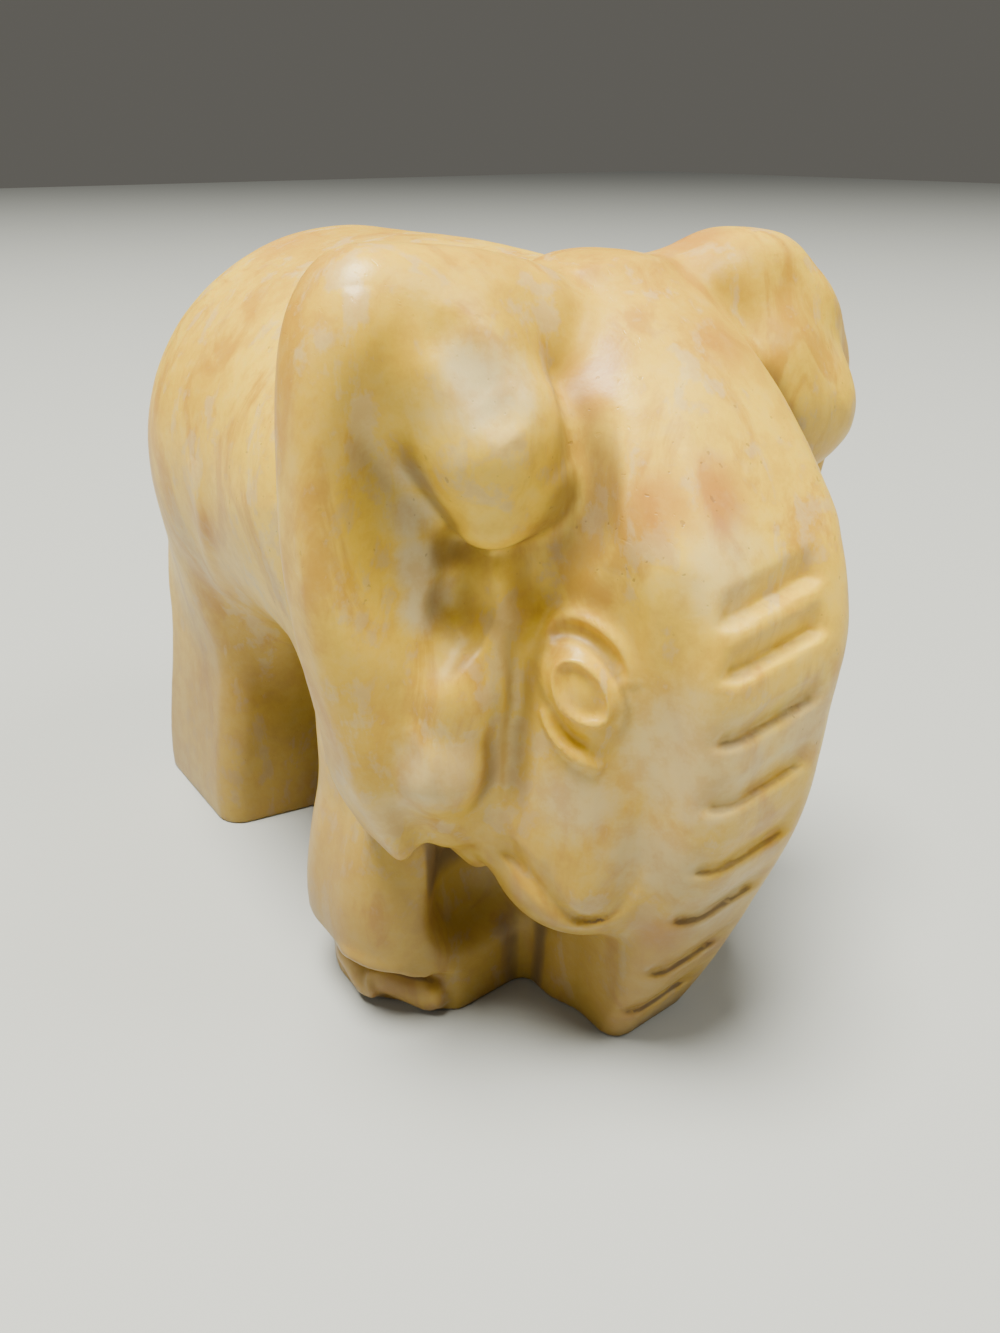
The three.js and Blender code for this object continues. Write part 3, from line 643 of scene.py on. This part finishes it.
def hand_tree():
    """The slight unevenness that rubbing by hand leaves."""
    sizes = {"Height": "NodeSocketFloat", "Waves": "NodeSocketFloat", "Seed": "NodeSocketFloat"}
    tree = geometry_tree("Rubbed by hand", sizes)
    nodes = Nodes(tree)
    start = nodes.make("NodeGroupInput")
    place = nodes.make("GeometryNodeInputPosition").outputs[0]
    values = {"Vector": place, "W": start.outputs["Seed"], "Scale": start.outputs["Waves"], "Detail": 3.0}
    uneven = nodes.signal("ShaderNodeTexNoise", {"noise_dimensions": "4D"}, values)
    high = nodes.make("ShaderNodeSeparateXYZ", {}, {0: place}).outputs["Z"]
    clear = nodes.step(high, 0.001, 0.004)
    height = (uneven - 0.55) * start.outputs["Height"] * clear
    finish_tree(nodes, start, moved_out(nodes, start.outputs["Geometry"], height))
    return tree


def add_tree(piece, tree, values):
    modifier = piece.modifiers.new(tree.name, "NODES")
    modifier.node_group = tree
    for label, value in values.items():
        modifier[tree.interface.items_tree[label].identifier] = value


def applied(piece):
    """The piece's mesh with its modifiers worked in and taken off."""
    result = piece.evaluated_get(bpy.context.evaluated_depsgraph_get())
    mesh = bpy.data.meshes.new_from_object(result)
    piece.modifiers.clear()
    old, piece.data = piece.data, mesh
    bpy.data.meshes.remove(old)


# How far out each look for nearby stone goes, in millimetres, and its share
SHELTER = ((4.0, 0.15), (8.0, 0.35), (14.0, 0.5))


def shelter(points, cuts):
    """How closed in each point is, from 0 in the open to 1 deep in a hollow; the stone paints shade into the
    hollows from it.
    """
    out = slopes(points, cuts)
    total = np.zeros(len(points))
    for reach, share in SHELTER:
        total += share * np.clip(1 - field(points + out * reach, cuts) / reach, 0, 1)
    return total


def scored(piece, lines, stone, cuts):
    """Adds a groove along each line to the piece, and gives the objects that carry the lines."""
    tree = scoring_tree()
    guides = []
    for name, (path, half_width, depth) in lines.items():
        sides = (-1,) if name in RIGHT_SIDE_ONLY else (-1, 1)
        on, edges = scored_paths(path, sides, cuts)
        guide = mesh_of(name, on, edges=edges)
        ends = np.linspace(0, 1, len(on) // len(sides))
        fade = np.ones(len(ends)) if name == RING else np.sin(math.pi * ends) ** 0.5
        faded = guide.attributes.new("fade", "FLOAT", "POINT")
        faded.data.foreach_set("value", np.tile(fade, len(sides)))
        guides.append(shown(name, guide))
        groove = {"Lines": guides[-1], "Half Width": half_width * MM, "Depth": depth * MM}
        add_tree(piece, tree, {**groove, "Material": stone})
    return guides


def finish_mesh(mesh, cuts):
    """Holds the mesh inside the CAD box, and gives each point its shelter."""
    co = np.empty(3 * len(mesh.vertices), np.float32)
    mesh.vertices.foreach_get("co", co)
    # The unevenness stands up to a tenth of a millimetre past the CAD box
    co = np.clip(co.reshape(-1, 3), CAD_BOX[0], CAD_BOX[1])
    mesh.vertices.foreach_set("co", co.ravel())
    closed = mesh.attributes.new("shelter", "FLOAT", "POINT")
    closed.data.foreach_set("value", shelter(co / MM - (0, SHIFT_Y, 0), cuts).astype(np.float32))
    mesh.shade_smooth()


# Cloudy and stained places: middle, reach, and how strongly the stone turns there
CLOUDS = (
    ((-28.5, -58, 103), 6, 0.9), ((-34.3, -51.5, 93), 3, 0.9), ((-33.3, -50.5, 88), 3.2, 0.9),
    ((-32.5, -50, 82), 3.4, 0.9), ((-32, -50, 77), 3.6, 0.9), ((-33, -54, 56), 6, 0.6),
    ((3, -80, 62), 6, 0.6), ((-37, -48, 50), 5, 0.6), ((-12, -78, 60), 11, 0.6), ((-14, -74, 44), 8, 0.6),
    ((-20, -64, 52), 6, 0.6),
    ((-10, -78, 86), 7, 0.5), ((-4, -76, 36), 8, 0.6),
)
STAINS = (
    ((-7, -73, 93), 5, 0.8), ((-13, -68, 90), 5, 0.6), ((-13, -56, 100), 4, 0.6), ((14, -44, 113), 6, 0.6),
    ((4, -62, 107), 5, 0.5), ((-9, -70, 31), 5, 0.6), ((-37, 6, 72), 5, 0.4), ((-12, 20, 111), 7, 0.4),
)


def patch(nodes, place, spots, ragged):
    """A mask of soft round spots with ragged edges."""
    total = None
    for middle, reach, strength in spots:
        here = tuple(v * MM for v in (middle[0], middle[1] + SHIFT_Y, middle[2]))
        away = nodes.signal("ShaderNodeVectorMath", {"operation": "DISTANCE"}, {0: place, 1: here}, "Value")
        spot = nodes.step(away / (reach * MM) + ragged, 1.35, 0.35) * strength
        total = spot if total is None else total.maths("MAXIMUM", total, spot)
    return total


def alabaster(colours):
    """Satin honey stone: cloudy patches, amber veins, painted brown shade in the hollows and towards the
    bottom, fine scratches.
    """
    material = bpy.data.materials.new("alabaster")
    material.use_nodes = True
    nodes = Nodes(material.node_tree)
    shader = material.node_tree.nodes["Principled BSDF"]
    place = nodes.make("ShaderNodeTexCoord").outputs["Object"]
    slanted = nodes.stretched(place, (1.6, 1.6, 0.55))
    broad = nodes.noise(place, 22.0, 3.0)
    cloud = nodes.noise(slanted, 75.0, 6.0, 0.62, 0.8)
    vein = nodes.noise(slanted, 60.0, 5.0, 0.6, 1.2)
    mottle = nodes.noise(place, 260.0, 5.0, 0.65)
    grain = nodes.noise(place, 1800.0, 3.0)
    pits = nodes.noise(place, 1100.0, 1.0, 0.4)
    pitted = nodes.step(pits, 0.27, 0.22) * nodes.step(broad, 0.5, 0.62)
    closed = nodes.signal("ShaderNodeAttribute", {"attribute_name": "shelter"}, {}, "Fac")
    ragged = (cloud - 0.5) * 1.6 + (mottle - 0.5) * 0.6

    tone = nodes.mix(nodes.step(broad, 0.35, 0.68), colours.honey, colours.straw)
    tone = nodes.mix(nodes.step(vein, 0.5, 0.66) * 0.6, tone, colours.amber)
    pale = nodes.step(cloud + (mottle - 0.5) * 0.7, 0.54, 0.66) * 0.5
    pale = pale.maths("MAXIMUM", pale, patch(nodes, place, CLOUDS, ragged))
    tone = nodes.mix(pale, tone, colours.cream)
    tone = nodes.mix(patch(nodes, place, STAINS, ragged), tone, colours.rust)
    tone = nodes.mix(nodes.step(mottle, 0.42, 0.66) * 0.32, tone, colours.amber)
    tone = nodes.mix(nodes.step(mottle, 0.5, 0.3) * 0.14, tone, colours.cream)
    tone = nodes.mix(pitted * 0.35, tone, colours.pit_and_shade_brown)
    high = nodes.signal("ShaderNodeSeparateXYZ", {}, {0: place}, "Z")
    # Painted shade: the stone turns brown towards the bottom, from 65 mm down and fully below 15 mm, where
    # shade falls near the floor
    low = nodes.step(high + (cloud - 0.5) * 0.02, 0.065, 0.015)
    # Painted shade: brown laid into the hollows, darker the more closed in they are, and stronger towards the
    # bottom
    painted_shade = nodes.step(closed + (cloud - 0.5) * 0.2, 0.2, 0.7) * (0.6 + 0.3 * low)
    tone = nodes.mix(painted_shade.maths("MAXIMUM", painted_shade, low * 0.58), tone, colours.pit_and_shade_brown)
    nodes.tree.links.new(tone, shader.inputs["Base Color"])

    rough = 0.36 + (cloud - 0.5) * 0.12 + (mottle - 0.5) * 0.1 + closed * 0.2
    nodes.tree.links.new(rough.socket, shader.inputs["Roughness"])
    scratch = nodes.noise(nodes.stretched(place, (3.0, 0.5, 1.6)), 700.0, 2.0, 0.6)
    height = mottle * 0.6 + grain * 0.15 - nodes.step(scratch, 0.66, 0.74) * 0.25 - pitted * 0.5
    relief = nodes.make("ShaderNodeBump", {}, {"Strength": 0.25, "Distance": 0.0004, "Height": height})
    nodes.tree.links.new(relief.outputs[0], shader.inputs["Normal"])
    shader.inputs["Subsurface Weight"].default_value = colours.glow
    shader.inputs["Subsurface Radius"].default_value = (1.0, 0.55, 0.2)
    shader.inputs["Subsurface Scale"].default_value = 0.004
    shader.inputs["IOR"].default_value = 1.52
    shader.inputs["Specular IOR Level"].default_value = 0.35
    return material


def paint(name, colour, roughness):
    """A plain matt finish for the stage."""
    material = bpy.data.materials.new(name)
    material.use_nodes = True
    nodes = Nodes(material.node_tree)
    shader = material.node_tree.nodes["Principled BSDF"]
    place = nodes.make("ShaderNodeTexCoord").outputs["Object"]
    shade = nodes.noise(place, 9.0, 4.0) * 0.06 + roughness
    nodes.tree.links.new(shade.socket, shader.inputs["Roughness"])
    shader.inputs["Base Color"].default_value = colour
    return material


def colour(name, value, description):
    return FloatVectorProperty(
        name=name, description=description, default=(*value, 1.0), size=4, subtype="COLOR", min=0.0, max=1.0
    )


def length(name, value, description):
    return FloatProperty(
        name=name, description=description, default=value, unit="LENGTH", subtype="DISTANCE", precision=5
    )


def amount(name, value, description, **more):
    return FloatProperty(name=name, description=description, default=value, **more)


class ElephantSizes(bpy.types.PropertyGroup):
    cell: length("Surface spacing", 0.00055, "Distance between the points that carry the carving")
    band_depth: length("Trunk cuts", 0.0015, "Depth of the chisel cuts across the trunk")
    mouth_depth: length("Mouth", 0.0014, "Depth of the cut above the lower lip")
    ring_depth: length("Eyeball ring", 0.0014, "Depth of the groove around each eyeball")
    ring_width: length("Eyeball ring half width", 0.0008, "Half width of the groove around each eyeball")
    hand_height: length("Unevenness", 0.0005, "Height of the waves that rubbing by hand left")
    faces: IntProperty(
        name="Faces", description="The most triangles on the finished piece", default=190000, min=20000
    )
    seed: amount("Seed", 3.0, "Picks another pattern of waves")


class ElephantColours(bpy.types.PropertyGroup):
    honey: colour("Honey", (0.60, 0.355, 0.012), "Main colour of the stone")
    straw: colour("Straw", (0.78, 0.51, 0.025), "Paler yellow that the honey drifts into")
    amber: colour("Amber", (0.45, 0.205, 0.012), "Warm veins and mottling")
    cream: colour("Cream", (0.62, 0.50, 0.26), "Cloudy patches")
    rust: colour("Rust", (0.42, 0.15, 0.03), "Reddish stains")
    # Brown for the pits, and for the painted shade in the hollows and towards the bottom
    pit_and_shade_brown: colour("Brown", (0.10, 0.066, 0.044), "Colour in the hollows")
    glow: amount("Glow", 0.2, "How much light passes through the stone", min=0.0, max=1.0)


class ElephantStage(bpy.types.PropertyGroup):
    floor: length("Floor", 6.0, "Width of the floor")
    floor_colour: colour("Floor colour", (0.36, 0.38, 0.41), "Plain pale floor")
    sky: amount("Room light", 0.12, "Strength of the even light around", min=0.0)
    key: amount("Ceiling light", 170.0, "Power of the large lamp above", min=0.0)
    fill: amount("Side light", 1.0, "Power of the soft lamp at the side", min=0.0)
    window: amount("Window light", 14.0, "Power of the soft lamp in front", min=0.0)
    lens: amount("Lens", 27.03, "Focal length of the camera", subtype="DISTANCE_CAMERA")
    heading: amount("Heading", math.radians(37), "Turn of the camera's view away from +Y", unit="ROTATION")
    tilt: amount("Tilt", math.radians(28), "How far the camera looks down", unit="ROTATION")


class OBJECT_OT_carve_elephant(bpy.types.Operator):
    """Carve the elephant's fine surface and give it its stone"""

    bl_idname = "object.carve_elephant"
    bl_label = "Carve elephant"
    bl_options = {"REGISTER", "UNDO"}

    def execute(self, context):
        sizes = context.scene.elephant_sizes
        cuts = {"band": sizes.band_depth / MM, "mouth": sizes.mouth_depth / MM}
        cell = sizes.cell / MM * 1
        points, quads = surface(cell, cuts)
        if not len(quads):
            raise RuntimeError("the elephant's surface came out empty")
        piece = shown("alabaster_elephant", mesh_of("alabaster_elephant", points, quads[:, ::-1]))
        stone = alabaster(context.scene.elephant_colours)
        piece.data.materials.append(stone)

        lines = {name: (smoothed(places), *size) for name, (places, *size) in LINES.items()}
        lines[RING] = (eyeball_ring(), sizes.ring_width / MM, sizes.ring_depth / MM)
        guides = scored(piece, lines, stone, cuts)
        rubbing = {"Height": sizes.hand_height, "Waves": HAND_WAVES, "Seed": sizes.seed, "Material": stone}
        add_tree(piece, hand_tree(), rubbing)
        thinned = piece.modifiers.new("Thin", "DECIMATE")
        thinned.ratio = min(1.0, sizes.faces / (2 * len(quads)))
        applied(piece)
        for guide in guides:
            bpy.data.objects.remove(guide)

        finish_mesh(piece.data, cuts)
        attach(piece, "root")
        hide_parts(NODE)
        return {"FINISHED"}


class OBJECT_OT_set_elephant_stage(bpy.types.Operator):
    """Set the floor, the soft light and the camera around the elephant"""

    bl_idname = "object.set_elephant_stage"
    bl_label = "Set stage"
    bl_options = {"REGISTER", "UNDO"}

    def execute(self, context):
        stage = context.scene.elephant_stage
        half = stage.floor / 2
        corners = [(-half, -half, 0), (half, -half, 0), (half, half, 0), (-half, half, 0)]
        mesh = bpy.data.meshes.new("floor")
        mesh.from_pydata(corners, [], [(0, 1, 2, 3)])
        mesh.materials.append(paint("floor", stage.floor_colour, 0.7))
        shown("floor", mesh)

        world = bpy.data.worlds.new("room")
        world.use_nodes = True
        world.node_tree.nodes["Background"].inputs["Color"].default_value = ROOM_COLOUR
        world.node_tree.nodes["Background"].inputs["Strength"].default_value = stage.sky
        context.scene.world = world
        for (name, (place, size)), power in zip(LAMPS.items(), (stage.key, stage.fill, stage.window)):
            self.lamp(name, place, size, power)

        camera = bpy.data.objects.new("camera", bpy.data.cameras.new("camera"))
        context.scene.collection.objects.link(camera)
        camera.data.lens = stage.lens
        camera.data.sensor_width = SENSOR_WIDTH
        camera.data.clip_start = NEAREST_SEEN
        camera.location = CAMERA_PLACE
        level = Vector((math.sin(stage.heading), math.cos(stage.heading), 0)) * math.cos(stage.tilt)
        ahead = level - Vector((0, 0, math.sin(stage.tilt)))
        camera.rotation_euler = ahead.to_track_quat("-Z", "Y").to_euler()
        context.scene.camera = camera
        return {"FINISHED"}

    def lamp(self, name, place, size, power):
        light = bpy.data.lights.new(name, "AREA")
        light.shape = "DISK"
        light.size = size
        light.energy = power
        light.color = LAMP_COLOUR
        lamp = bpy.data.objects.new(name, light)
        bpy.context.scene.collection.objects.link(lamp)
        lamp.location = place
        lamp.rotation_euler = (Vector(LAMP_TARGET) - Vector(place)).to_track_quat("-Z", "Y").to_euler()


class VIEW3D_PT_elephant(bpy.types.Panel):
    bl_label = "Alabaster elephant"
    bl_space_type = "VIEW_3D"
    bl_region_type = "UI"
    bl_category = "Elephant"

    def draw(self, context):
        for group, operator in (
            ("elephant_sizes", None),
            ("elephant_colours", "object.carve_elephant"),
            ("elephant_stage", "object.set_elephant_stage"),
        ):
            settings = getattr(context.scene, group)
            column = self.layout.column()
            for name in settings.bl_rna.properties.keys():
                if name not in {"rna_type", "name"}:
                    column.prop(settings, name)
            if operator:
                column.operator(operator)


CLASSES = (
    ElephantSizes,
    ElephantColours,
    ElephantStage,
    OBJECT_OT_carve_elephant,
    OBJECT_OT_set_elephant_stage,
    VIEW3D_PT_elephant,
)


def register():
    for cls in CLASSES:
        bpy.utils.register_class(cls)
    bpy.types.Scene.elephant_sizes = PointerProperty(type=ElephantSizes)
    bpy.types.Scene.elephant_colours = PointerProperty(type=ElephantColours)
    bpy.types.Scene.elephant_stage = PointerProperty(type=ElephantStage)


def unregister():
    for name in ("elephant_stage", "elephant_colours", "elephant_sizes"):
        delattr(bpy.types.Scene, name)
    for cls in reversed(CLASSES):
        bpy.utils.unregister_class(cls)


def main():
    register()
    bpy.ops.object.carve_elephant()
    bpy.ops.object.set_elephant_stage()


if __name__ == "__main__":
    main()
